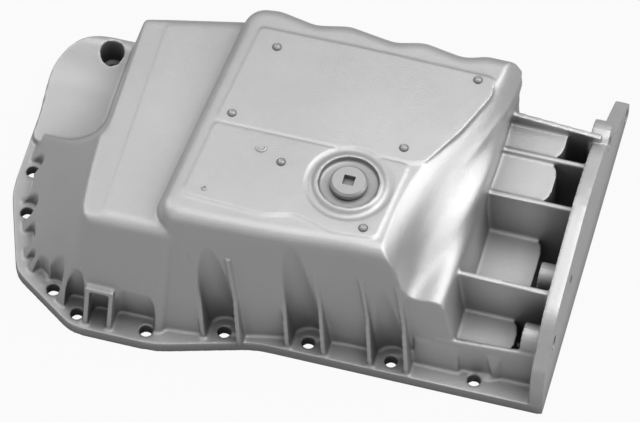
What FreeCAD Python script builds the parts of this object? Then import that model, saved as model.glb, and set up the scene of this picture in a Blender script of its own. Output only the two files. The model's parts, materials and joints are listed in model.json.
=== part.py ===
import FreeCAD, Part
import Sketcher
import math
import os

V = FreeCAD.Vector
document = FreeCAD.newDocument("oil_pan")

# The pan lies upside down: the gasket face is z = 0 and the sump rises along +Z.
# +X points at the bell-housing plate, -Y is the side with the straight gasket rail.
sizes = [
    # gasket rail
    ("rail_thick", 9.0), ("near_edge", 110.0), ("far_edge", 115.0), ("nose_reach", 206.0), ("corner_swell", 2.0),
    ("bell_face", 200.0), ("nose_bulge", 20.0), ("rail_hole_dia", 9.0), ("rail_hole_inset", 10.0),
    # walls of the casting
    ("wall", 4.5), ("top_round", 11.0),
    # main sump
    ("sump_height", 119.0), ("near_foot", 94.0), ("near_top", 89.0), ("far_foot", 105.0),
    ("far_top", 98.0), ("flute_foot", 9.0), ("flute_top", 5.0), ("sump_rear", 124.0),
    ("sump_rear_foot", 132.5), ("sump_front", 82.0), ("front_lean", 20.0),
    # nose of the sump
    ("nose_height", 105.0), ("nose_crest", 132.0), ("nose_band", 13.0), ("nose_band_step", 0.8),
    ("nose_near_foot", 119.0), ("nose_near_top", 101.0), ("nose_flange", 6.0),
    # low shelf at the far corner of the nose
    ("shelf_low", 14.0), ("shelf_high", 36.0), ("shelf_near", 22.0), ("shelf_set_in", 1.5), ("bowl_lean", 36.0),
    ("bowl_round", 28.0), ("bowl_foot", 158.0), ("bowl_set_back", 3.0),
    # scooped ramp at the bell end of the sump
    ("ramp_near_start", 75.0), ("ramp_far_start", 133.0), ("ramp_near_toe", 76.0),
    ("ramp_far_toe", 104.0), ("crest_round", 6.0),
    # bell-housing end
    ("pocket_floor", 37.0), ("platform_height", 77.0), ("floor_end", 172.0), ("hump_round", 12.0),
    ("hump_notch", 12.0),
    ("rib_thick", 4.0), ("side_wall_height", 88.0), ("bell_near", 93.5), ("bell_step", 8.0),
    ("side_wall_near", 72.0), ("bell_draft", 3.5), ("side_wall_foot", 95.0),
    ("plate_thick", 10.0), ("plate_height", 92.0), ("ear_reach", 41.0), ("plate_hole_dia", 11.0),
    # bolt channels and gussets of the near wall
    ("channel_radius", 12.5), ("channel_lean", 9.0), ("channel_flare", 2.5), ("bolt_room", 8.5),
    ("bolt_room_height", 70.0), ("notch_depth", 9.0),
    ("gusset_thick", 3.5), ("gusset_height", 88.0), ("gusset_toe", 5.0),
    # drain
    ("drain_x", 41.0), ("drain_y", 37.0), ("thread_dia", 16.0), ("thread_clearance", 0.15),
    ("drain_ring_dia", 52.0), ("drain_recess_dia", 42.0), ("drain_ring_height", 3.0),
    ("drain_recess_depth", 1.5), ("drain_boss_dia", 32.0), ("drain_boss_depth", 8.0),
    ("plug_head_dia", 26.0), ("plug_head_height", 5.0), ("plug_socket", 8.0),
    ("plug_socket_depth", 4.0), ("plug_length", 17.0), ("washer_dia", 22.0),
    ("washer_thick", 1.5), ("washer_clearance", 0.3),
    # raised lands on the underside of the sump
    ("land_height", 1.0), ("land_gap", 1.8),
]
sheet = document.addObject("Spreadsheet::Sheet", "Sizes")
for row, (name, value) in enumerate(sizes, start=1):
    sheet.set("A%d" % row, name)
    sheet.set("B%d" % row, str(value))
    sheet.setAlias("B%d" % row, name)
document.recompute()
size = {name: float(sheet.get(name)) for name, _ in sizes}
below = 2.0  # how far cutters pass a face, so that no two faces coincide


def inset_corners(corners, inset):
    # corners are (x, y, radius) in counter-clockwise order
    moved = []
    count = len(corners)
    for i in range(count):
        a = V(*corners[i - 1][:2], 0)
        p = V(*corners[i][:2], 0)
        b = V(*corners[(i + 1) % count][:2], 0)
        before = (p - a).normalize()
        after = (b - p).normalize()
        turn = before.cross(after).z
        normal_before = V(-before.y, before.x, 0)
        normal_after = V(-after.y, after.x, 0)
        bisector = normal_before + normal_after
        point = p + bisector * (inset / (1 + normal_before.dot(normal_after)))
        radius = corners[i][2] - inset if turn > 0 else corners[i][2] + inset
        moved.append((point.x, point.y, max(radius, 1.0)))
    return moved


def rounded_wire(corners, level):
    ends = []
    count = len(corners)
    for i in range(count):
        a = V(*corners[i - 1][:2], level)
        p = V(*corners[i][:2], level)
        b = V(*corners[(i + 1) % count][:2], level)
        to_a = (a - p).normalize()
        to_b = (b - p).normalize()
        half = to_a.getAngle(to_b) / 2
        reach = corners[i][2] / math.tan(half)
        middle = p + (to_a + to_b).normalize() * (corners[i][2] / math.sin(half) - corners[i][2])
        ends.append((p + to_a * reach, middle, p + to_b * reach))
    edges = []
    for i in range(count):
        edges.append(Part.Arc(*ends[i]).toShape())
        edges.append(Part.makeLine(ends[i][2], ends[(i + 1) % count][0]))
    return Part.Wire(edges)


def prism(corners, bottom, top):
    face = Part.Face(rounded_wire(corners, bottom))
    return face.extrude(V(0, 0, top - bottom))


def prism_x(corners, start, end):
    # corners are (y, z, radius); the solid runs from x = start to x = end
    solid = prism(corners, start, end)
    solid.rotate(V(0, 0, 0), V(1, 1, 1), 120)
    return solid


def drafted(foot, top, foot_level, top_level, inset=0.0):
    lower = rounded_wire(inset_corners(foot, inset), foot_level)
    upper = rounded_wire(inset_corners(top, inset), top_level - inset)
    solid = Part.makeLoft([lower, upper], True, True)
    if inset:
        skirt = Part.Face(rounded_wire(inset_corners(foot, inset), -below))
        solid = solid.fuse(skirt.extrude(V(0, 0, foot_level + below)))
    return solid


def round_edges(solid, radius, test):
    picked = [e for e in solid.Edges if test(e.BoundBox)]
    return solid.makeFillet(radius, picked)


def round_top(solid, level, radius):
    return round_edges(solid, radius, lambda box: box.ZMin > level - 0.01)


def main_sump(inset):
    near = size["near_foot"]
    front = size["sump_front"]
    lean = size["front_lean"]
    rear = size["sump_rear"] + 50  # the ramp cutter trims this end
    flutes = [106.0, 91.0, 61.0, 41.0, 7.0, -16.0, -43.0]
    foot = [(-front - lean, -near - 24, 14), (-40, -near - 18, 100), (0, -near - 8, 100),
            (50, -near, 100), (rear, -near, 12), (rear, size["far_foot"], 18)]
    near = size["near_top"]
    top = [(-front, -near - 5, 16), (-40, -near - 5, 100), (0, -near - 4, 100),
           (50, -near, 100), (rear, -near, 14), (rear, size["far_top"], 18)]
    for i, x in enumerate(flutes):
        foot.append((x, size["far_foot"] - size["flute_foot"] * (i % 2), 16))
        top.append((x, size["far_top"] - size["flute_top"] * (i % 2), 24))
    foot.append((-front - lean + 19, size["far_foot"] - 4, 16))
    top.append((-front + 19, size["far_top"] - 3, 16))
    solid = drafted(foot, top, size["rail_thick"], size["sump_height"], inset)
    return round_top(solid, size["sump_height"] - inset, size["top_round"] - inset)


def spline_wire(points, closing, level):
    # a smooth curve through the points, closed by straight lines through the closing points
    curve = Part.BSplineCurve()
    curve.interpolate([V(x, y, level) for x, y in points])
    straight = [points[-1]] + closing + [points[0]]
    lines = [Part.makeLine(V(*a, level), V(*b, level)) for a, b in zip(straight, straight[1:])]
    return Part.Wire([curve.toShape()] + lines)


def bowl_wire(x, y, radius, level):
    # a quarter-plane beyond (x, y) with one rounded corner
    outer = [V(x, 160, level), V(-270, 160, level), V(-270, y, level)]
    middle = V(x - radius * (1 - math.sqrt(0.5)), y + radius * (1 - math.sqrt(0.5)), level)
    arc = Part.Arc(V(x - radius, y, level), middle, V(x, y + radius, level))
    points = [V(x, y + radius, level)] + outer + [V(x - radius, y, level)]
    return Part.Wire([arc.toShape()] + [Part.makeLine(a, b) for a, b in zip(points, points[1:])])


def nose_front(inset):
    # everything in front of the slanted nose wall, from its curved foot to its nearly straight crest
    crest = size["nose_crest"]
    foot = [(-104, -122.5), (-125, -121)]
    foot += [(x, on_line(flange_line, x, True)) for x in (-143, -160)]
    corner = flange_line[6]
    foot.append((corner[0] + 1.2, corner[1] + 0.9))
    foot += [(on_front(flange_line, y), y) for y in (-72, -42, -12, 22)]
    foot.append((foot[-1][0], 160))
    top = [(-crest + 28, -108), (-crest + 11, -104), (-crest, -96), (-crest - 3, -82), (-crest - 4, -50),
           (-crest - 5, -20), (-crest - 6, 22), (-crest - 9, 160)]
    closing = [(-270, 160), (-270, -150)]
    wires = []
    for points, level in ((foot, -below), (foot, size["rail_thick"]), (top, size["nose_height"] + below)):
        wires.append(spline_wire(points, closing, level))
    solids = [Part.makeLoft(wires[:2], True, True), Part.makeLoft(wires[1:], True, True)]
    # the bowl's near face leans back over the nose, so that it stays open from above
    step = size["shelf_near"] - inset
    step_top = step - math.tan(math.radians(size["bowl_lean"])) * (size["nose_height"] - size["rail_thick"])
    foot_x = -size["bowl_foot"] + inset
    top_x = -crest - size["bowl_set_back"] + inset
    for solid in solids:
        solid.translate(V(inset * 0.9, inset * 0.35, 0))
    corner = Part.Face(bowl_wire(foot_x, step, size["bowl_round"] + inset, size["rail_thick"]))
    solids.append(corner.extrude(V(top_x - foot_x, step_top - step, size["nose_height"] + below - size["rail_thick"])))
    solids.append(corner.extrude(V(0, 0, -size["rail_thick"] - 2 * below)))
    return solids


def nose(inset):
    near = size["nose_near_foot"]
    foot = [(-230, -near + 3, 6), (-70, -near - 1, 6), (-60, 104, 8), (-230, 106, 8)]
    near = size["nose_near_top"]
    top = [(-230, -near - 3, 14), (-62, -near + 1, 14), (-50, 96, 14), (-230, 50, 14)]
    solid = drafted(foot, top, size["rail_thick"], size["nose_height"], inset)
    level = size["nose_height"] - inset
    solid = round_top(solid, level, size["top_round"] - inset)
    start = -size["nose_crest"] + size["nose_band"]
    step = level - size["nose_band_step"]
    band = prism_y([(-250, level + 30), (start, level + 30), (start, step), (-250, step - 12)], -200, 200)
    return solid.cut([band] + nose_front(inset))


def prism_y(corners, start, end):
    # corners are (x, z); the solid runs from y = start to y = end
    points = [V(x, start, z) for x, z in corners]
    face = Part.Face(Part.makePolygon(points + points[:1]))
    return face.extrude(V(0, end - start, 0))


def shelf(inset):
    near = size["shelf_near"] - 10
    far = size["far_foot"]
    low = size["shelf_low"]
    high = size["shelf_high"]
    front = -size["nose_reach"] + size["shelf_set_in"]
    corner = front - size["corner_swell"]
    foot = [(front, near, 6), (-130, near, 6), (-130, far, 6), (corner, far, 38), (corner, 62, 40), (front, 38, 40)]
    top = [(x + 1.5 if x < -140 else x, y - 4 if y == far else y, radius) for x, y, radius in foot]
    plan = drafted(foot, top, size["rail_thick"], high + 4, inset)
    dish = [(near - 5, -below, 1), (far + 5, -below, 1), (far + 5, high - inset - 14, 1),
            (far - 6, high - inset, 10), (far - 34, low - inset + 6, 60), (near - 5, low - inset, 1)]
    return plan.common(prism_x(dish, corner - 5, -125))


def ramp_cutter(inset):
    # the floor of the scoop is steep and hollow at the near side and nearly flat at the far side;
    # past its crest it turns down into the rear wall
    near_shape = [(0.0, 0.0), (0.2, 0.26), (0.35, 0.7), (0.48, 0.95), (0.62, 1.0), (0.85, 0.97)]
    far_shape = [(0.0, 0.0), (0.2, 0.14), (0.4, 0.34), (0.6, 0.58), (0.75, 0.77), (0.88, 0.94)]
    near_y = -size["near_foot"] - 18
    far_y = size["far_foot"] + 8
    height = size["sump_height"]
    stations = [(near_y, -0.02, -0.06, 0.0), (-70, 0.02, 0.18, 0.2), (-12, 0.17, 0.75, 0.7),
                (50, 0.62, 0.98, 1.0), (far_y, 1.05, 1.0, 1.0)]
    round_off = size["crest_round"]
    wires = []
    for y, along, lift, blend in stations:
        start = size["ramp_near_start"] + along * (size["ramp_far_start"] - size["ramp_near_start"])
        toe = size["ramp_near_toe"] + lift * (size["ramp_far_toe"] - size["ramp_near_toe"])
        rear = size["sump_rear"] + 6 * (y - near_y) / (far_y - near_y)
        rear_foot = size["sump_rear_foot"]
        start = min(start, rear - 14)
        points = [V(start - 5, y, height + 2.4)]
        for (u, drop), (u_far, drop_far) in zip(near_shape, far_shape):
            u = u + (u_far - u) * blend
            drop = drop + (drop_far - drop) * blend
            points.append(V(start + u * (rear - start), y, height - drop * (height - toe)))
        points.append(V(rear - 0.3 * round_off, y, toe - 0.3 * round_off))
        points.append(V(rear, y, toe - round_off))
        points.append(V(rear + 0.4 * (rear_foot - rear), y, toe - round_off - 0.4 * (toe - size["pocket_floor"])))
        points.append(V(rear_foot, y, size["pocket_floor"] - 3))
        points.append(V(rear_foot + 1, y, -10))
        floor = Part.BSplineCurve()
        floor.interpolate(points)
        end = V(size["bell_face"], y, -10)
        corner = [end, V(end.x, y, height + 20), V(start - 5, y, height + 20), points[0]]
        lines = [Part.makeLine(p, q) for p, q in zip([points[-1]] + corner, corner)]
        wires.append(Part.Wire([floor.toShape()] + lines))
    solid = Part.makeLoft(wires, True, False)
    solid.translate(V(-inset, 0, -inset))
    return solid


def bell_end(inset):
    near = size["bell_near"]
    step = size["bell_step"]
    side = size["side_wall_near"]
    low = size["rail_thick"] if not inset else -below
    draft = size["bell_draft"]
    wall_top = size["side_wall_height"]
    outline = [(-near - draft, low, 1), (size["side_wall_foot"], low, 1),
               (side + 8, size["platform_height"], 4), (step + 1, size["platform_height"], 4),
               (step, size["pocket_floor"], 3), (-near, size["pocket_floor"], 5)]
    outline = inset_corners(outline, inset)
    if inset:
        outline[0] = (outline[0][0], low, 1)
        outline[1] = (outline[1][0], low, 1)
    block = prism_x(outline, size["sump_rear"] - 20, size["floor_end"] - inset)
    return block.common(hump_plan(inset))


def hump_plan(inset):
    # the humps between the ribs end in rounded corners, short of the plate
    start = size["sump_rear"] - 25
    end = size["floor_end"] - inset
    plan = [prism([(start, -120, 1), (end - size["hump_notch"], -120, 1), (end - size["hump_notch"], 120, 1),
                   (start, 120, 1)], -2 * below, 120)]
    sides = [-size["bell_near"] - 4, rib_places[1], rib_places[2], rib_places[3], size["side_wall_foot"] + 2]
    for near, far in zip(sides, sides[1:]):
        near = near + size["rib_thick"] / 2 + inset
        far = far + size["rib_thick"] / 2 - inset
        rounding = size["hump_round"] - inset
        plan.append(prism([(start, near, 1), (end, near, rounding), (end, far, rounding), (start, far, 1)],
                          -2 * below, 120))
    return plan[0].multiFuse(plan[1:])


# near face of each rib behind the plate
rib_places = [-size["bell_near"], -62.0, size["bell_step"], 46.0, size["side_wall_near"]]
# start, end, inner side and height of each nose pocket
pocket_spans = [(-142.5, -128.0, -104.0, 50.0), (-123.0, -109.5, -109.0, 38.0), (-106.0, -76.5, -108.5, 46.0)]


def on_line(corners, x, near):
    # where the line x crosses the near or far side of an outline
    found = []
    for (x1, y1, _), (x2, y2, _) in zip(corners, corners[1:] + corners[:1]):
        if min(x1, x2) <= x <= max(x1, x2) and x1 != x2:
            found.append(y1 + (y2 - y1) * (x - x1) / (x2 - x1))
    return min(found) if near else max(found)


def on_front(corners, y):
    found = []
    for (x1, y1, _), (x2, y2, _) in zip(corners, corners[1:] + corners[:1]):
        if min(y1, y2) <= y <= max(y1, y2) and y1 != y2:
            found.append(x1 + (x2 - x1) * (y - y1) / (y2 - y1))
    return min(found)


bulge = size["near_edge"] + size["nose_bulge"]
reach = size["nose_reach"]
swell = size["corner_swell"]
rail_corners = [(size["bell_face"], -size["near_edge"], 3), (size["bell_face"], size["far_edge"], 3),
                (-reach - swell, size["far_edge"], 40), (-reach - swell, 62, 40), (-reach, 38, 40),
                (-reach, -30, 60), (-184, -95, 25), (-134, -bulge, 25), (-73, -bulge, 60),
                (-5, -size["near_edge"], 80)]
hole_line = inset_corners(rail_corners, size["rail_hole_inset"])
flange_line = inset_corners(rail_corners, size["nose_flange"])
near_hole_x = [-132.5, -82.0, -29.0, 30.0, 89.5, 149.0]
far_hole_x = [-124.0, -70.0, -16.0, 41.0, 91.0, 149.0]
near_holes = [(x, on_line(hole_line, x, True)) for x in near_hole_x]
far_holes = [(x, on_line(hole_line, x, False)) for x in far_hole_x]
end_holes = [(on_front(hole_line, y), y) for y in (-11.0, -46.0)]
end_holes.append((-154.0, on_line(hole_line, -154.0, True)))
# the bolt in the bowl stands clear of its rim
end_holes.append((-reach + 40, size["far_edge"] - 25))


def nose_pockets(inset):
    # low recesses in the foot of the near wall, which leave room for the bolt heads
    pockets = []
    low = -2 * below if inset else size["rail_thick"]
    for start, end, depth, height in pocket_spans:
        foot = [(start, -140, 1), (end, -140, 1), (end, depth, 5), (start, depth, 5)]
        top = [(start + 1, -140, 1), (end - 1, -140, 1), (end - 1, depth - 5, 5), (start + 1, depth - 5, 5)]
        foot = inset_corners(foot, -inset)
        top = inset_corners(top, -inset)
        pockets.append(Part.makeLoft([rounded_wire(foot, low), rounded_wire(top, height + inset)], True, True))
    # notches in the foot of the slanted wall: place, direction inwards in degrees, length and depth
    deep = size["notch_depth"]
    corner = flange_line[6]
    notches = [(on_front(flange_line, -28), -28, 6, 17, deep), (on_front(flange_line, -70), -70, 19, 15, deep),
               (corner[0] + 1, corner[1] + 4, 37, 7, deep * 0.7),
               (-168, on_line(flange_line, -168, True), 55, 12, deep)]
    for x, y, inward, length, depth in notches:
        half = length / 2
        plan = inset_corners([(-25, -half, 1), (depth, -half, 3), (depth, half, 3), (-25, half, 1)], -inset)
        notch = prism(plan, low, size["bolt_room_height"])
        notch.rotate(V(0, 0, 0), V(0, 0, 1), inward)
        notch.translate(V(x, y, 0))
        pockets.append(notch)
    return pockets


def channels(inset):
    cutters = nose_pockets(inset)
    lean = math.tan(math.radians(size["channel_lean"]))
    flare = math.tan(math.radians(size["channel_flare"]))
    for x, y in near_holes[2:]:
        axis = V(-lean, -flare, 1)
        start = V(x, y, size["rail_thick"])
        if inset:
            start = start - axis * (size["rail_thick"] + below)
        cutters.append(Part.makeCylinder(size["channel_radius"] + inset, 130, start, axis))
    for x, y in end_holes + far_holes[:2]:
        start = V(x, y, -below if inset else size["rail_thick"])
        cutters.append(Part.makeCylinder(size["bolt_room"] + inset, size["bolt_room_height"], start))
    return cutters[0].multiFuse(cutters[1:])


def form(inset):
    body = main_sump(inset).cut(ramp_cutter(inset))
    whole = body.multiFuse([nose(inset), shelf(inset), bell_end(inset)])
    return whole.cut(channels(inset)).removeSplitter()


def add(name, shape):
    feature = document.addObject("Part::Feature", name)
    feature.Shape = shape
    return feature


def cylinder(name, radius, height, x, y, z, tilt=None):
    item = document.addObject("Part::Cylinder", name)
    item.setExpression("Radius", radius)
    item.setExpression("Height", height)
    item.setExpression("Placement.Base.x", x)
    item.setExpression("Placement.Base.y", y)
    item.setExpression("Placement.Base.z", z)
    if tilt:
        item.Placement.Rotation = FreeCAD.Rotation(V(0, 1, 0), 90)
    return item


def gusset(x, y_edge, wall_y, height):
    # a thin rib from the rail edge up to the wall, leaning towards the nose
    lean = math.tan(math.radians(size["channel_lean"]))
    rail = size["rail_thick"]
    profile = [(y_edge, rail - 1), (y_edge, rail + size["gusset_toe"]), (wall_y - 4, height * 0.55),
               (wall_y, height), (wall_y + 8, height), (wall_y + 10, rail - 1)]
    points = [V(x - lean * (z - rail), y, z) for y, z in profile]
    face = Part.Face(Part.makePolygon(points + points[:1]))
    return face.extrude(V(size["gusset_thick"], 0, 0))


def wall_y(x, z):
    # near wall of the sump at a place along it
    foot = -size["near_foot"] if x > 40 else -size["near_foot"] - (40 - x) * 0.19
    top = -size["near_top"] if x > 20 else -size["near_top"] - 4
    return foot + (top - foot) * (z - size["rail_thick"]) / (size["sump_height"] - size["rail_thick"])


# gasket rail
rail_outline = add("rail_outline", Part.Face(rounded_wire(rail_corners, 0)))
rail = document.addObject("Part::Extrusion", "rail")
rail.Base = rail_outline
rail.DirMode = "Custom"
rail.Dir = V(0, 0, 1)
rail.Solid = True
rail.setExpression("LengthFwd", "Sizes.rail_thick")

outer_form = add("outer_form", form(0.0))
inner_form = add("inner_form", form(size["wall"]))

# bell-housing plate
ear = size["far_edge"] + size["ear_reach"]
top = size["plate_height"]
plate_corners = [(-size["near_edge"], 0, 2), (ear, 0, 2), (ear, 14, 9), (104, 48, 50),
                 (64, top - 10, 40), (12, top, 120), (-78, top - 15, 30),
                 (-size["near_edge"] + 1, 44, 14)]
plate = prism_x(plate_corners, size["bell_face"] - size["plate_thick"], size["bell_face"])
plate_bolts = [(82, 64, 15, 3), (ear - 11, 11, 0, 0), (-35, 57, 10, 12), (-82, 50, 10, 12)]
bosses = []
for y, z, radius, length in plate_bolts:
    if radius:
        start = size["bell_face"] - size["plate_thick"] - length
        bosses.append(Part.makeCylinder(radius, size["plate_thick"] + length, V(start, y, z), V(1, 0, 0)))
bell_plate = add("bell_plate", plate.multiFuse(bosses))

# ribs that carry the plate: near face, height at the sump and height at the plate
x_wall = size["sump_rear"] - 6
x_plate = size["bell_face"] - size["plate_thick"] / 2
rail_z = size["rail_thick"] - 1
thick = size["rib_thick"]
floor = size["pocket_floor"]
high = size["platform_height"]
rib_heights = [(floor + 2, 46), (78, 76), (high + 2, 80), (high + 2.5, 80), (size["side_wall_height"], 81)]
bell_ribs = []
for y, (top_wall, top_plate) in zip(rib_places, rib_heights):
    outline = [V(x_wall, y, rail_z), V(x_plate, y, rail_z), V(x_plate, y, top_plate), V(x_wall, y, top_wall)]
    face = Part.Face(Part.makePolygon(outline + outline[:1]))
    bell_ribs.append(face.extrude(V(0, thick, 0)))
bell_ribs = add("bell_ribs", bell_ribs[0].multiFuse(bell_ribs[1:]))

# gussets beside the bolt channels
gussets = []
for x, y in near_holes[2:5]:
    for side in (-1, 1):
        place = x + side * 13 - size["gusset_thick"] / 2
        gussets.append(gusset(place, y - size["rail_hole_inset"] + 1.5, wall_y(x, 60), size["gusset_height"]))
near_gussets = add("near_gussets", gussets[0].multiFuse(gussets[1:]))

drain = [size["drain_x"], -size["drain_y"]]
ring_top = size["sump_height"] + size["drain_ring_height"]
ring_base = size["sump_height"] - size["wall"]
ring_radius = size["drain_ring_dia"] / 2
lip = (size["drain_ring_dia"] - size["drain_recess_dia"]) / 4
ring_profile = Part.Wire([
    Part.makeLine(V(0, 0, ring_base), V(ring_radius + 2, 0, ring_base)),
    Part.makeLine(V(ring_radius + 2, 0, ring_base), V(ring_radius, 0, ring_top - lip)),
    Part.makeLine(V(ring_radius, 0, ring_top - lip), V(ring_radius - lip, 0, ring_top)),
    Part.makeLine(V(ring_radius - lip, 0, ring_top), V(0, 0, ring_top)),
    Part.makeLine(V(0, 0, ring_top), V(0, 0, ring_base))])
ring_solid = Part.Face(ring_profile).revolve(V(0, 0, 0), V(0, 0, 1), 360)
ring_solid.translate(V(size["drain_x"], -size["drain_y"], 0))
ring = add("drain_ring", ring_solid)
boss = cylinder("drain_boss", "Sizes.drain_boss_dia / 2", "Sizes.drain_boss_depth + Sizes.wall", "Sizes.drain_x",
                "-Sizes.drain_y", "Sizes.sump_height - Sizes.wall - Sizes.drain_boss_depth")

# two raised lands on the underside of the sump, parted by a groove that runs round the drain
top = size["sump_height"]
gap = size["land_gap"]
upper_land = [(-62, -9, 3), (78, -8.5, 3), (88, -5, 8), (105, 26, 60), (119, 62, 20), (116, 76, 5),
              (50, 77, 60), (10, 77, 60), (-52, 76, 4)]
lower_land = [(-68, -74, 4), (-9, -77, 30), (10, -71, 12), (24, -74, 14), (38, -79, 20), (70, -76, 5),
              (77, -9 - gap, 3), (-61.5, -9 - gap, 3)]
lands = prism(upper_land, top - 1, top + size["land_height"])
lands = lands.fuse(prism(lower_land, top - 1, top + size["land_height"]))
around = Part.makeCylinder(ring_radius + 5, 10, V(size["drain_x"], -size["drain_y"], top - 5))
lands = add("lands", lands.cut(around))

# ledge and ribs on the foot of the nose
nose_ribs = []
for x in (-109.5, -126.5):
    profile = [V(x, -126, size["rail_thick"] - 1), V(x, -126, size["rail_thick"] + 4), V(x, -118, 38),
               V(x, -100, 42), V(x, -100, size["rail_thick"] - 1)]
    face = Part.Face(Part.makePolygon(profile + profile[:1]))
    nose_ribs.append(face.extrude(V(size["gusset_thick"], 0, 0)))
nose_ribs.append(Part.makeBox(20.5, 18, size["gusset_thick"], V(-126.5, -118, 38)))
nose_ribs = add("nose_ribs", nose_ribs[0].multiFuse(nose_ribs[1:]))
document.recompute()

outside = document.addObject("Part::MultiFuse", "outside")
outside.Shapes = [rail, outer_form, bell_plate, bell_ribs, near_gussets, nose_ribs, lands, ring]
hollow = document.addObject("Part::Cut", "hollow")
hollow.Base = outside
hollow.Tool = inner_form
with_boss = document.addObject("Part::MultiFuse", "with_boss")
with_boss.Shapes = [hollow, boss]

bores = []
for i, (x, y) in enumerate(near_holes + far_holes + end_holes):
    bores.append(cylinder("rail_bore_%d" % i, "Sizes.rail_hole_dia / 2", "Sizes.rail_thick + 30",
                          str(x), str(y), "-2"))
recess = cylinder("drain_recess", "Sizes.drain_recess_dia / 2", "Sizes.drain_ring_height + Sizes.drain_recess_depth",
                  "Sizes.drain_x", "-Sizes.drain_y", "Sizes.sump_height - Sizes.drain_recess_depth")
thread = cylinder("drain_thread", "Sizes.thread_dia / 2 + Sizes.thread_clearance", "Sizes.sump_height",
                  "Sizes.drain_x", "-Sizes.drain_y", "20")
for i, (y, z, _, length) in enumerate(plate_bolts):
    depth = "Sizes.plate_thick + %g" % (length + below)
    bores.append(cylinder("plate_bore_%d" % i, "Sizes.plate_hole_dia / 2", depth + " + %g" % below,
                          "Sizes.bell_face - (%s)" % depth, str(y), str(z), True))
tools = document.addObject("Part::MultiFuse", "tools")
tools.Shapes = bores + [recess, thread]
casting = document.addObject("Part::Cut", "oil_pan_casting")
casting.Base = with_boss
casting.Tool = tools
# the origin of the finished part is the middle of its bounding box, on the gasket face
origin_x = "(Sizes.nose_reach + Sizes.corner_swell - Sizes.bell_face) / 2"
origin_y = "(Sizes.near_edge + Sizes.nose_bulge - Sizes.far_edge - Sizes.ear_reach) / 2"
casting.setExpression("Placement.Base.x", origin_x)
casting.setExpression("Placement.Base.y", origin_y)

# drain plug, seated on its washer in the recess
seat = "Sizes.sump_height - Sizes.drain_recess_depth"


def body_at(name, z):
    body = document.addObject("PartDesign::Body", name)
    body.setExpression("Placement.Base.x", "Sizes.drain_x + " + origin_x)
    body.setExpression("Placement.Base.y", "-Sizes.drain_y + " + origin_y)
    body.setExpression("Placement.Base.z", z)
    return body


def sketch_on(body, plane, name):
    sketch = body.newObject("Sketcher::SketchObject", name)
    origin = {f.Role: f for f in body.Origin.OriginFeatures}
    sketch.AttachmentSupport = [(origin[plane], "")]
    sketch.MapMode = "FlatFace"
    return sketch


def add_circle(sketch, diameter, guess):
    circle = sketch.addGeometry(Part.Circle(V(0, 0, 0), V(0, 0, 1), guess))
    sketch.addConstraint(Sketcher.Constraint("Coincident", circle, 3, -1, 1))
    constraint = sketch.addConstraint(Sketcher.Constraint("Diameter", circle, 2 * guess))
    sketch.setExpression("Constraints[%d]" % constraint, diameter)
    return circle


def add_pad(body, sketch, name, length):
    pad = body.newObject("PartDesign::Pad", name)
    pad.Profile = sketch
    pad.setExpression("Length", length)
    sketch.Visibility = False
    return pad


washer = body_at("drain_plug_washer", seat)
washer_sketch = sketch_on(washer, "XY_Plane", "washer_ring")
add_circle(washer_sketch, "Sizes.washer_dia", 11)
add_circle(washer_sketch, "Sizes.thread_dia + 2 * Sizes.washer_clearance", 8.3)
add_pad(washer, washer_sketch, "washer_pad", "Sizes.washer_thick")

plug = body_at("drain_plug", seat + " + Sizes.washer_thick")
head_sketch = sketch_on(plug, "XY_Plane", "head_circle")
add_circle(head_sketch, "Sizes.plug_head_dia", 13)
add_pad(plug, head_sketch, "plug_head", "Sizes.plug_head_height")
shank_sketch = sketch_on(plug, "XY_Plane", "shank_circle")
add_circle(shank_sketch, "Sizes.thread_dia", 8)
shank = add_pad(plug, shank_sketch, "plug_shank", "Sizes.plug_length")
shank.Reversed = True
document.recompute()
rim = [i for i, e in enumerate(shank.Shape.Edges, start=1)
       if abs(e.CenterOfMass.z - size["plug_head_height"]) < 0.01]
rim_chamfer = plug.newObject("PartDesign::Chamfer", "head_chamfer")
rim_chamfer.Base = (shank, ["Edge%d" % i for i in rim])
rim_chamfer.setExpression("Size", "Sizes.plug_head_height * 0.3")
plug.Tip = rim_chamfer
document.recompute()
socket_sketch = sketch_on(plug, "XY_Plane", "socket_square")
socket_sketch.setExpression("AttachmentOffset.Base.z", "Sizes.plug_head_height")
half = size["plug_socket"] / 2
corners = [V(-half, -half, 0), V(half, -half, 0), V(half, half, 0), V(-half, half, 0)]
for i in range(4):
    socket_sketch.addGeometry(Part.LineSegment(corners[i], corners[(i + 1) % 4]))
for i in range(4):
    socket_sketch.addConstraint(Sketcher.Constraint("Coincident", i, 2, (i + 1) % 4, 1))
for i in (0, 2):
    socket_sketch.addConstraint(Sketcher.Constraint("Horizontal", i))
    socket_sketch.addConstraint(Sketcher.Constraint("Vertical", i + 1))
socket_sketch.addConstraint(Sketcher.Constraint("Symmetric", 0, 1, 1, 2, -1, 1))
across = socket_sketch.addConstraint(Sketcher.Constraint("DistanceX", 0, 1, 0, 2, 2 * half))
socket_sketch.setExpression("Constraints[%d]" % across, "Sizes.plug_socket")
across = socket_sketch.addConstraint(Sketcher.Constraint("DistanceY", 1, 1, 1, 2, 2 * half))
socket_sketch.setExpression("Constraints[%d]" % across, "Sizes.plug_socket")
socket = plug.newObject("PartDesign::Pocket", "plug_socket_cut")
socket.Profile = socket_sketch
socket.setExpression("Length", "Sizes.plug_socket_depth")
socket_sketch.Visibility = False
document.recompute()

for item in document.Objects:
    if item.State and ("Invalid" in item.State or "Error" in item.State):
        raise RuntimeError(item.Name)
    if hasattr(item, "Shape") and (item.Shape.isNull() or not item.Shape.isValid()):
        raise RuntimeError(item.Name + " is not valid")
os.makedirs("parts", exist_ok=True)
for node in (casting, plug, washer):
    print(node.Label, len(node.Shape.Solids), round(node.Shape.Volume), node.Shape.BoundBox)
    node.Shape.exportStep("parts/%s.step" % node.Label)
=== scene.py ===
import json
import math

import bmesh
import bpy
import numpy as np
from mathutils import Matrix, Vector

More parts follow.
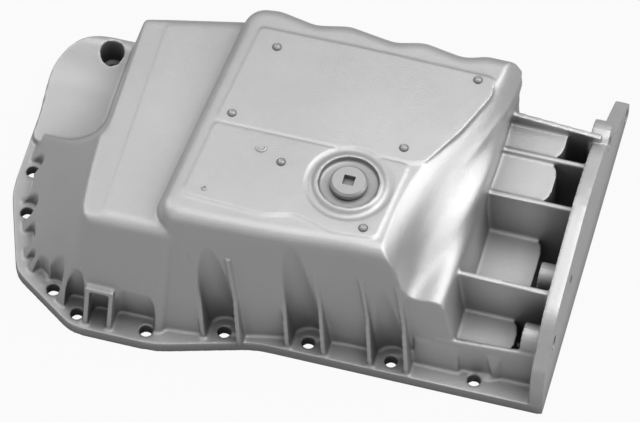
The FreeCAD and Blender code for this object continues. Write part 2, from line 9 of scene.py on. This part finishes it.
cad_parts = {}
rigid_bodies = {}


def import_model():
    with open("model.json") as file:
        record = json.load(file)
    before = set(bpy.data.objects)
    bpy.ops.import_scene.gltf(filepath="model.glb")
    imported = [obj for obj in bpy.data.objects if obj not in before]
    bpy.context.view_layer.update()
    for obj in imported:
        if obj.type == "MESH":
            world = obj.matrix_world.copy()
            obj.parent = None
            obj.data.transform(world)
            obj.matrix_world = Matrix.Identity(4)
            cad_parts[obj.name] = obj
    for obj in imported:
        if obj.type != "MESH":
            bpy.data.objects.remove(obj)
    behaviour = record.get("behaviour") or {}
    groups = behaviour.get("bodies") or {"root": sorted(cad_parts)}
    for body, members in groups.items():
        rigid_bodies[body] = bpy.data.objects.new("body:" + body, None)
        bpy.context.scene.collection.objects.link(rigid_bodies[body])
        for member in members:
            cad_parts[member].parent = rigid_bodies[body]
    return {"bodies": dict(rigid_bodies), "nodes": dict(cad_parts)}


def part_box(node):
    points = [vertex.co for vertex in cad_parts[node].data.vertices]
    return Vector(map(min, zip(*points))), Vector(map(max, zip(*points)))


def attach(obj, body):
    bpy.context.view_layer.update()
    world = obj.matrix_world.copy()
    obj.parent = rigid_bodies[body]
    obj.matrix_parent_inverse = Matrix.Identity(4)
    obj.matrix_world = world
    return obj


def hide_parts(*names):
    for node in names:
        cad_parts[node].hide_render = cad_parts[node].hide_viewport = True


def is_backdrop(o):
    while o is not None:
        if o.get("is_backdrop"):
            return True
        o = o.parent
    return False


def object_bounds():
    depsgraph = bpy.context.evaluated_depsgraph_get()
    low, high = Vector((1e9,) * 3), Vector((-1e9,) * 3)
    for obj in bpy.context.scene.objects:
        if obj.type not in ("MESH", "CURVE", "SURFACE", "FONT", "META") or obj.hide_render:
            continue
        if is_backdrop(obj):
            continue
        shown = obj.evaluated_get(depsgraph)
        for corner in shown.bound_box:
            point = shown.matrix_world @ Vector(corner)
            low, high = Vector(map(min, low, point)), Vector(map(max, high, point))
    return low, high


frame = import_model()
nodes = frame["nodes"]
cadLow, cadHigh = (list(corner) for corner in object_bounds())
mm = 0.001
samePoint = 1e-6  # metres: points nearer than this are merged
root = list(frame["bodies"])[0]
print("frame loaded", len(nodes), "nodes")


# object and mesh helpers
def linked(name, data):
    obj = bpy.data.objects.new(name, data)
    bpy.context.scene.collection.objects.link(obj)
    return obj


def meshObject(name, points, faces=()):
    mesh = bpy.data.meshes.new(name)
    mesh.from_pydata([tuple(point) for point in points], [], list(faces))
    return linked(name, mesh)


def applyModifiers(obj):
    graph = bpy.context.evaluated_depsgraph_get()
    mesh = bpy.data.meshes.new_from_object(obj.evaluated_get(graph), depsgraph=graph)
    mesh.name = obj.name
    obj.data = mesh
    obj.modifiers.clear()


def mergedWork(mesh):
    # a CAD node's mesh is loose triangles, so the points of its copy are merged
    work = bmesh.new()
    work.from_mesh(mesh)
    bmesh.ops.remove_doubles(work, verts=work.verts, dist=samePoint)
    return work


def shadeSmooth(mesh, sharpAngle=None):
    for polygon in mesh.polygons:
        polygon.use_smooth = True
    if sharpAngle is not None:
        mesh.set_sharp_from_angle(angle=math.radians(sharpAngle))


def dress(mesh, *materials):
    mesh.materials.clear()
    for material in materials:
        mesh.materials.append(material)


# camera: the photograph was matched from this side, far away with a long lens
shot = {
    "azimuth": 14.0, "elevation": 55.5, "roll": 1.0,  # degrees
    "distance": 4.2, "farthest": 50.0,  # metres
    "lens": 337.5, "sensor": 36.0,  # millimetres
    "target": (0.01962, -0.02866, 0.04696),
}


def placeCamera(shot):
    a = math.radians(shot["azimuth"])
    e = math.radians(shot["elevation"])
    roll = math.radians(shot["roll"])
    back = Vector((math.sin(a) * math.cos(e), -math.cos(a) * math.cos(e), math.sin(e)))
    flat = Vector((math.cos(a), math.sin(a), 0))
    rise = back.cross(flat)
    right = flat * math.cos(roll) + rise * math.sin(roll)
    up = rise * math.cos(roll) - flat * math.sin(roll)
    data = bpy.data.cameras.new("photoCamera")
    data.lens = shot["lens"]
    data.sensor_width = shot["sensor"]
    data.clip_end = shot["farthest"]
    camera = linked("photoCamera", data)
    turn = Matrix((right, up, back)).transposed().to_4x4()
    place = Vector(shot["target"]) + back * shot["distance"]
    camera.matrix_world = Matrix.Translation(place) @ turn
    bpy.context.scene.camera = camera


placeCamera(shot)


# shader helpers
def newTree(name, outputs, inputs=()):
    tree = bpy.data.node_groups.new(name, "ShaderNodeTree")
    for label, kind in outputs:
        tree.interface.new_socket(label, in_out="OUTPUT", socket_type=kind)
    for label, kind, value in inputs:
        socket = tree.interface.new_socket(label, in_out="INPUT", socket_type=kind)
        socket.default_value = value
    return tree


def feed(tree, socket, value):
    # a value is a number, a colour or another node's output
    if isinstance(value, (int, float, tuple)):
        socket.default_value = value
    else:
        tree.links.new(value, socket)


def noise(tree, vector, scale, detail):
    node = tree.nodes.new("ShaderNodeTexNoise")
    node.inputs["Scale"].default_value = scale
    node.inputs["Detail"].default_value = detail
    tree.links.new(vector, node.inputs["Vector"])
    return node.outputs["Fac"]


def math2(tree, kind, a, b):
    node = tree.nodes.new("ShaderNodeMath")
    node.operation = kind
    feed(tree, node.inputs[0], a)
    feed(tree, node.inputs[1], b)
    return node.outputs[0]


def ranged(tree, value, low, high, start=0.0, end=1.0):
    node = tree.nodes.new("ShaderNodeMapRange")
    for label, amount in (("From Min", start), ("From Max", end), ("To Min", low), ("To Max", high)):
        node.inputs[label].default_value = amount
    tree.links.new(value, node.inputs["Value"])
    return node.outputs["Result"]


def mixed(tree, factor, a, b):
    node = tree.nodes.new("ShaderNodeMix")
    node.data_type = "RGBA"
    tree.links.new(factor, node.inputs["Factor"])
    feed(tree, node.inputs["A"], a)
    feed(tree, node.inputs["B"], b)
    return node.outputs["Result"]


def tinted(color, share):
    return tuple(min(share * c, 1) for c in color) + (1,)


def grey(level):
    return (level, level, level, 1)


# the blasted skin: the scale per metre and the detail of each noise
grain = {
    "fine": (900.0, 2.0), "dents": (60.0, 3.0),
    "slow": (11.0, 4.0), "spots": (140.0, 2.0), "slowShare": 0.75,
}


def castGrain(grain):
    # fine grain and soft dents for the relief, slow changes and small spots for the tone
    tree = newTree("castGrain", [("Height", "NodeSocketFloat"), ("Tone", "NodeSocketFloat")],
                   [("Grain", "NodeSocketFloat", 1.0), ("Dents", "NodeSocketFloat", 1.0)])
    source = tree.nodes.new("NodeGroupInput")
    sink = tree.nodes.new("NodeGroupOutput")
    place = tree.nodes.new("ShaderNodeTexCoord").outputs["Object"]
    fine = math2(tree, "MULTIPLY", noise(tree, place, *grain["fine"]), source.outputs["Grain"])
    soft = math2(tree, "MULTIPLY", noise(tree, place, *grain["dents"]), source.outputs["Dents"])
    tree.links.new(math2(tree, "ADD", fine, soft), sink.inputs["Height"])
    slow = math2(tree, "MULTIPLY", noise(tree, place, *grain["slow"]), grain["slowShare"])
    spots = math2(tree, "MULTIPLY", noise(tree, place, *grain["spots"]), 1 - grain["slowShare"])
    tree.links.new(math2(tree, "ADD", slow, spots), sink.inputs["Tone"])
    return tree


castGrainTree = castGrain(grain)

# each finish: its colour, how metallic and rough it is, and how much of the blasted skin it shows
finishes = {
    "castAluminium": {"color": (0.68, 0.68, 0.68), "metallic": 0.8, "rough": 0.5, "spread": 0.07,
                      "grain": 1.0, "dents": 1.2, "bump": 0.4},
    "machinedAluminium": {"color": (0.8, 0.8, 0.8), "metallic": 1.0, "rough": 0.3, "spread": 0.04,
                          "grain": 0.4, "dents": 0.2, "bump": 0.12},
    "zincPlated": {"color": (0.6, 0.6, 0.6), "metallic": 0.9, "rough": 0.46, "spread": 0.05,
                   "grain": 0.6, "dents": 0.4, "bump": 0.25},
    "copper": {"color": (0.72, 0.42, 0.28), "metallic": 1.0, "rough": 0.35, "spread": 0.04,
               "grain": 0.3, "dents": 0.2, "bump": 0.1},
}
# painted shade: corners and pockets are painted darker than open faces, within this reach and down to
# this share of the colour
paintedShadeAndSkin = {"reach": 32 * mm, "paintedShadeShare": 0.22, "toneStart": 0.3, "toneEnd": 0.7, "relief": 0.4 * mm}


def principled(name):
    finish = finishes[name]
    color, rough, spread = finish["color"], finish["rough"], finish["spread"]
    material = bpy.data.materials.new(name)
    material.use_nodes = True
    tree = material.node_tree
    shader = tree.nodes["Principled BSDF"]
    shader.inputs["Metallic"].default_value = finish["metallic"]
    group = tree.nodes.new("ShaderNodeGroup")
    group.node_tree = castGrainTree
    group.inputs["Grain"].default_value = finish["grain"]
    group.inputs["Dents"].default_value = finish["dents"]
    tone = group.outputs["Tone"]
    uneven = ranged(tree, tone, rough - spread, rough + spread, paintedShadeAndSkin["toneStart"], paintedShadeAndSkin["toneEnd"])
    tree.links.new(uneven, shader.inputs["Roughness"])
    varied = mixed(tree, tone, tinted(color, 1 - spread), tinted(color, 1 + spread))
    # painted shade: the base colour darkens towards the darkest share where ambient occlusion finds
    # surfaces close by
    occlusionForShade = tree.nodes.new("ShaderNodeAmbientOcclusion")
    occlusionForShade.inputs["Distance"].default_value = paintedShadeAndSkin["reach"]
    paintedShadeColor = mixed(tree, occlusionForShade.outputs["AO"], tinted(color, paintedShadeAndSkin["paintedShadeShare"]), varied)
    tree.links.new(paintedShadeColor, shader.inputs["Base Color"])
    relief = tree.nodes.new("ShaderNodeBump")
    relief.inputs["Distance"].default_value = paintedShadeAndSkin["relief"]
    relief.inputs["Strength"].default_value = finish["bump"]
    tree.links.new(group.outputs["Height"], relief.inputs["Height"])
    tree.links.new(relief.outputs["Normal"], shader.inputs["Normal"])
    return material


castAluminium = principled("castAluminium")
machined = principled("machinedAluminium")
zinc = principled("zincPlated")
copper = principled("copper")
print("materials ready")

# the casting: softened like a die casting, crisp only where it is machined
skin = {
    "voxel": 1.0 * mm, "factor": 0.5, "passes": 7,
    "flat": 0.6 * mm,  # points this near a machined face go back onto it
    "bright": 0.3 * mm,  # faces this near it get the machined finish
    "crestFront": -119 * mm, "crestLow": 46 * mm, "crestFade": 5 * mm,
    "crestSteps": 5, "crestPasses": 40,
    "triangles": 190000, "sharpAngle": 40.0,
}


def spotsOf(mesh):
    spots = np.empty(len(mesh.vertices) * 3)
    mesh.vertices.foreach_get("co", spots)
    return spots.reshape(-1, 3)


def addSmooth(obj, factor, passes, group=""):
    smooth = obj.modifiers.new("smooth", "SMOOTH")
    smooth.factor = factor
    smooth.iterations = passes
    smooth.vertex_group = group


def roundCrest(obj, spots, skin):
    # the crest of the nose is rounder than the other edges
    fade, steps = skin["crestFade"], skin["crestSteps"]
    ahead = np.clip((skin["crestFront"] - spots[:, 0]) / fade, 0, 1)
    raised = np.clip((spots[:, 2] - skin["crestLow"]) / (3 * fade), 0, 1)
    levels = np.round(ahead * raised * steps).astype(int)
    group = obj.vertex_groups.new(name="crest")
    for level in range(1, steps + 1):
        group.add(np.nonzero(levels == level)[0].tolist(), level / steps, "REPLACE")
    addSmooth(obj, skin["factor"], skin["crestPasses"], group.name)


def castSkin(source, skin):
    mesh = source.data.copy()
    work = mergedWork(mesh)
    work.to_mesh(mesh)
    work.free()
    obj = linked("castSkin", mesh)
    remesh = obj.modifiers.new("remesh", "REMESH")
    remesh.mode = "VOXEL"
    remesh.voxel_size = skin["voxel"] * 1.0
    applyModifiers(obj)
    before = spotsOf(obj.data)
    print("remeshed", len(before))
    addSmooth(obj, skin["factor"], skin["passes"])
    applyModifiers(obj)
    # the two machined faces stay flat
    after = spotsOf(obj.data)
    onGasket = before[:, 2] < cadLow[2] + skin["flat"]
    onPlate = before[:, 0] > cadHigh[0] - skin["flat"]
    after[onGasket, 2] = cadLow[2]
    after[onPlate, 0] = cadHigh[0]
    obj.data.vertices.foreach_set("co", after.ravel())
    roundCrest(obj, after, skin)
    decimate = obj.modifiers.new("decimate", "DECIMATE")
    decimate.ratio = min(1.0, skin["triangles"] / (2.0 * len(obj.data.polygons)))  # quads until here
    applyModifiers(obj)
    obj.vertex_groups.clear()
    print("decimated", len(obj.data.polygons))
    shadeSmooth(obj.data, skin["sharpAngle"])
    return obj


casting = castSkin(nodes["oil_pan_casting"], skin)
dress(casting.data, castAluminium, machined)
for polygon in casting.data.polygons:
    middle = polygon.center
    onGasket = middle.z < skin["bright"]
    onPlate = middle.x > cadHigh[0] - skin["bright"]
    polygon.material_index = 1 if onGasket or onPlate else 0
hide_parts("oil_pan_casting")
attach(casting, root)
dress(nodes["drain_plug_washer"].data, copper)
print("casting ready")


# geometry node helpers
def newGeometry(name, sizes):
    tree = bpy.data.node_groups.new(name, "GeometryNodeTree")
    tree.interface.new_socket("Geometry", in_out="INPUT", socket_type="NodeSocketGeometry")
    tree.interface.new_socket("Geometry", in_out="OUTPUT", socket_type="NodeSocketGeometry")
    for label, value in sizes.items():
        kind = "NodeSocketInt" if isinstance(value, int) else "NodeSocketFloat"
        tree.interface.new_socket(label, in_out="INPUT", socket_type=kind).default_value = value
    return tree, tree.nodes.new("NodeGroupInput"), tree.nodes.new("NodeGroupOutput")


def ring(tree, radius, sides):
    node = tree.nodes.new("GeometryNodeCurvePrimitiveCircle")
    node.inputs["Resolution"].default_value = sides
    tree.links.new(radius, node.inputs["Radius"])
    return node.outputs[0]


def swept(tree, path, profile, caps):
    node = tree.nodes.new("GeometryNodeCurveToMesh")
    node.inputs["Fill Caps"].default_value = caps
    tree.links.new(path, node.inputs["Curve"])
    tree.links.new(profile, node.inputs["Profile Curve"])
    return node.outputs[0]


def lifted(tree, shape, height):
    up = tree.nodes.new("ShaderNodeCombineXYZ")
    node = tree.nodes.new("GeometryNodeTransform")
    tree.links.new(height, up.inputs["Z"])
    tree.links.new(shape, node.inputs["Geometry"])
    tree.links.new(up.outputs[0], node.inputs["Translation"])
    return node.outputs[0]


def together(tree, *shapes):
    node = tree.nodes.new("GeometryNodeJoinGeometry")
    for shape in shapes:
        tree.links.new(shape, node.inputs[0])
    return node.outputs[0]


def finishGeometry(tree, result, material, sink):
    realize = tree.nodes.new("GeometryNodeRealizeInstances")
    paint = tree.nodes.new("GeometryNodeSetMaterial")
    paint.inputs["Material"].default_value = material
    tree.links.new(result, realize.inputs[0])
    tree.links.new(realize.outputs[0], paint.inputs["Geometry"])
    tree.links.new(paint.outputs[0], sink.inputs[0])


def grow(obj, tree, sizes):
    modifier = obj.modifiers.new("grow", "NODES")
    modifier.node_group = tree
    for item in tree.interface.items_tree:
        if item.item_type == "SOCKET" and item.in_out == "INPUT" and item.name in sizes:
            modifier[item.identifier] = sizes[item.name]
    applyModifiers(obj)


# small cast studs on the underside of the sump, with a pin mark and a short curved ridge
landLevel = cadHigh[2] - 4 * mm  # the drain plug's head stands this far above the lands
wireSides = 10
studs = {
    "places": [(-32.8, 49.1), (-48.2, -13.7), (109.6, 58.4), (74.2, -11.1), (-4.6, -44.8), (63.8, -83.3)],
    "sides": 32,
    "sizes": {"Foot": 3.4 * mm, "Crown": 1.3 * mm, "Rise": 1.5 * mm, "Wire": 0.45 * mm},
}
pin = {
    "place": (-50.0, -79.8), "sink": 0.3 * mm,
    "sizes": {"Foot": 1.6 * mm, "Crown": 1.6 * mm, "Rise": 0.4 * mm, "Wire": 0.45 * mm},
}
ridge = {
    "place": (-21.0, -36.6), "steps": 24,
    "sizes": {"Radius": 3.2 * mm, "Wire": 0.9 * mm, "Start": 190.0, "Sweep": 200.0},
}


def studTree(studs):
    tree, source, sink = newGeometry("castMarks", studs["sizes"])
    cone = tree.nodes.new("GeometryNodeMeshCone")
    cone.inputs["Vertices"].default_value = studs["sides"]
    for label, socket in (("Foot", "Radius Bottom"), ("Crown", "Radius Top"), ("Rise", "Depth")):
        tree.links.new(source.outputs[label], cone.inputs[socket])
    rim = ring(tree, source.outputs["Crown"], studs["sides"])
    wire = ring(tree, source.outputs["Wire"], wireSides)
    lip = lifted(tree, swept(tree, rim, wire, False), source.outputs["Rise"])
    scatter = tree.nodes.new("GeometryNodeInstanceOnPoints")
    tree.links.new(source.outputs["Geometry"], scatter.inputs["Points"])
    tree.links.new(together(tree, cone.outputs[0], lip), scatter.inputs["Instance"])
    finishGeometry(tree, scatter.outputs[0], castAluminium, sink)
    return tree


def ridgeTree(ridge):
    tree, source, sink = newGeometry("castRidge", ridge["sizes"])
    arc = tree.nodes.new("GeometryNodeCurveArc")
    arc.inputs["Resolution"].default_value = ridge["steps"]
    tree.links.new(source.outputs["Radius"], arc.inputs["Radius"])
    for label, socket in (("Start", "Start Angle"), ("Sweep", "Sweep Angle")):
        turn = tree.nodes.new("ShaderNodeMath")
        turn.operation = "RADIANS"
        tree.links.new(source.outputs[label], turn.inputs[0])
        tree.links.new(turn.outputs[0], arc.inputs[socket])
    wire = ring(tree, source.outputs["Wire"], wireSides)
    finishGeometry(tree, swept(tree, arc.outputs[0], wire, True), castAluminium, sink)
    return tree


sharedStud = studTree(studs)
castMarks = meshObject("castMarks", [(x * mm, y * mm, landLevel) for x, y in studs["places"]])
grow(castMarks, sharedStud, studs["sizes"])
pinX, pinY = pin["place"]
pinMark = meshObject("pinMark", [(pinX * mm, pinY * mm, landLevel - pin["sink"])])
grow(pinMark, sharedStud, pin["sizes"])
ridgeX, ridgeY = ridge["place"]
castRidge = meshObject("castRidge", [(0, 0, 0)])
grow(castRidge, ridgeTree(ridge), ridge["sizes"])
castRidge.data.transform(Matrix.Translation((ridgeX * mm, ridgeY * mm, landLevel)))
for obj in (castMarks, pinMark, castRidge):
    shadeSmooth(obj.data)
    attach(obj, root)
print("cast marks ready")

# drain plug: the head from its solid, the shank with its thread
drain = {
    "sizes": {"Radius": 8 * mm, "Depth": 0.8 * mm, "Pitch": 1.5 * mm, "Turns": 10},
    "turnSteps": 40, "ridgeSides": 6, "coreSides": 48,
    "start": 0.8 * mm,  # from the shank's end to the first turn
    "overlap": 0.1 * mm,  # what is left of the solid's shank under the head
    "sharpAngle": 30.0,
}
plugLow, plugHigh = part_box("drain_plug")
plugMiddle = ((plugLow[0] + plugHigh[0]) / 2, (plugLow[1] + plugHigh[1]) / 2)
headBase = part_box("drain_plug_washer")[1][2]


def threadTree(drain):
    tree, source, sink = newGeometry("plugThread", drain["sizes"])
    pitch, turns = source.outputs["Pitch"], source.outputs["Turns"]
    wire = math2(tree, "MULTIPLY", source.outputs["Depth"], 0.5)
    middle = math2(tree, "SUBTRACT", source.outputs["Radius"], wire)
    length = math2(tree, "MULTIPLY", pitch, turns)
    spiral = tree.nodes.new("GeometryNodeCurveSpiral")
    spiral.inputs["Resolution"].default_value = drain["turnSteps"]
    tree.links.new(turns, spiral.inputs["Rotations"])
    tree.links.new(middle, spiral.inputs["Start Radius"])
    tree.links.new(middle, spiral.inputs["End Radius"])
    tree.links.new(length, spiral.inputs["Height"])
    winding = swept(tree, spiral.outputs[0], ring(tree, wire, drain["ridgeSides"]), True)
    core = tree.nodes.new("GeometryNodeMeshCylinder")
    core.inputs["Vertices"].default_value = drain["coreSides"]
    tree.links.new(middle, core.inputs["Radius"])
    tree.links.new(math2(tree, "ADD", length, pitch), core.inputs["Depth"])
    centred = lifted(tree, core.outputs[0], math2(tree, "MULTIPLY", length, 0.5))
    finishGeometry(tree, together(tree, winding, centred), zinc, sink)
    return tree


def plugHead(source):
    mesh = source.data.copy()
    work = mergedWork(mesh)
    cut = headBase - drain["overlap"]
    shank = [face for face in work.faces if face.calc_center_median().z < cut]
    bmesh.ops.delete(work, geom=shank, context="FACES")
    bmesh.ops.holes_fill(work, edges=work.edges, sides=0)
    work.to_mesh(mesh)
    work.free()
    # stored normals no longer fit once the points are merged
    if "custom_normal" in mesh.attributes:
        mesh.attributes.remove(mesh.attributes["custom_normal"])
    return linked("plugHead", mesh)


def joined(name, *parts):
    work = bmesh.new()
    for part in parts:
        work.from_mesh(part.data)
    mesh = bpy.data.meshes.new(name)
    work.to_mesh(mesh)
    work.free()
    for part in parts:
        bpy.data.objects.remove(part)
    return linked(name, mesh)


shank = meshObject("shank", [(0, 0, 0)])
grow(shank, threadTree(drain), drain["sizes"])
shank.data.transform(Matrix.Translation((plugMiddle[0], plugMiddle[1], plugLow[2] + drain["start"])))
plug = joined("drainPlug", plugHead(nodes["drain_plug"]), shank)
dress(plug.data, zinc)
for polygon in plug.data.polygons:
    polygon.material_index = 0
shadeSmooth(plug.data, drain["sharpAngle"])
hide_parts("drain_plug")
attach(plug, root)
print("drain plug ready")

# studio
ground = {"reach": 3.0, "gap": 0.2 * mm, "diffuse": 0.42, "glow": 0.99, "glowShare": 0.95}
sky = {"horizon": 0.16, "zenith": 0.62, "seen": 0.99}
lampAim = (0, 0, 0.04)
lamps = {
    "key": {"place": (1.25, 0.45, 1.25), "size": 1.4, "power": 11.0},
    "top": {"place": (0.3, 0.1, 1.2), "size": 0.8, "power": 3.2},
    "left": {"place": (-1.1, 0.3, 1.1), "size": 0.9, "power": 3.0},
    "front": {"place": (-0.9, -1.2, 0.9), "size": 0.9, "power": 0.8},
}


def mixShaders(tree, out, share, lit, seen):
    mix = tree.nodes.new("ShaderNodeMixShader")
    for socket, value in zip(mix.inputs, (share, lit, seen)):
        tree.links.new(value, socket)
    tree.links.new(mix.outputs[0], out.inputs["Surface"])


def floorMaterial(ground):
    material = bpy.data.materials.new("paleFloor")
    material.use_nodes = True
    tree = material.node_tree
    tree.nodes.clear()
    out = tree.nodes.new("ShaderNodeOutputMaterial")
    diffuse = tree.nodes.new("ShaderNodeBsdfDiffuse")
    diffuse.inputs["Color"].default_value = grey(ground["diffuse"])
    glow = tree.nodes.new("ShaderNodeEmission")
    glow.inputs["Color"].default_value = grey(ground["glow"])
    seen = tree.nodes.new("ShaderNodeLightPath").outputs["Is Camera Ray"]
    share = math2(tree, "MULTIPLY", seen, ground["glowShare"])
    mixShaders(tree, out, share, diffuse.outputs[0], glow.outputs[0])
    return material


def studioWorld(sky):
    world = bpy.data.worlds.new("studio")
    world.use_nodes = True
    tree = world.node_tree
    tree.nodes.clear()
    out = tree.nodes.new("ShaderNodeOutputWorld")
    around = tree.nodes.new("ShaderNodeSeparateXYZ")
    tree.links.new(tree.nodes.new("ShaderNodeTexCoord").outputs["Generated"], around.inputs[0])
    ambient = tree.nodes.new("ShaderNodeBackground")
    ambient.inputs["Color"].default_value = grey(1)
    strength = ranged(tree, around.outputs["Z"], sky["horizon"], sky["zenith"])
    tree.links.new(strength, ambient.inputs["Strength"])
    white = tree.nodes.new("ShaderNodeBackground")
    white.inputs["Color"].default_value = grey(sky["seen"])
    seen = tree.nodes.new("ShaderNodeLightPath").outputs["Is Camera Ray"]
    mixShaders(tree, out, seen, ambient.outputs[0], white.outputs[0])
    return world


reach = ground["reach"]
corners = [(-reach, -reach, 0), (reach, -reach, 0), (reach, reach, 0), (-reach, reach, 0)]
floor = meshObject("floor", corners, [(0, 1, 2, 3)])
floor.location.z = cadLow[2] - ground["gap"]
dress(floor.data, floorMaterial(ground))
floor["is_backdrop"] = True

for name, lamp in lamps.items():
    data = bpy.data.lights.new(name, "AREA")
    data.energy = lamp["power"]
    data.size = lamp["size"]
    light = linked(name, data)
    light.location = lamp["place"]
    facing = Vector(lampAim) - Vector(lamp["place"])
    light.rotation_euler = facing.to_track_quat("-Z", "Y").to_euler()

bpy.context.scene.world = studioWorld(sky)
bpy.context.scene.view_settings.view_transform = "Standard"
print("studio ready")
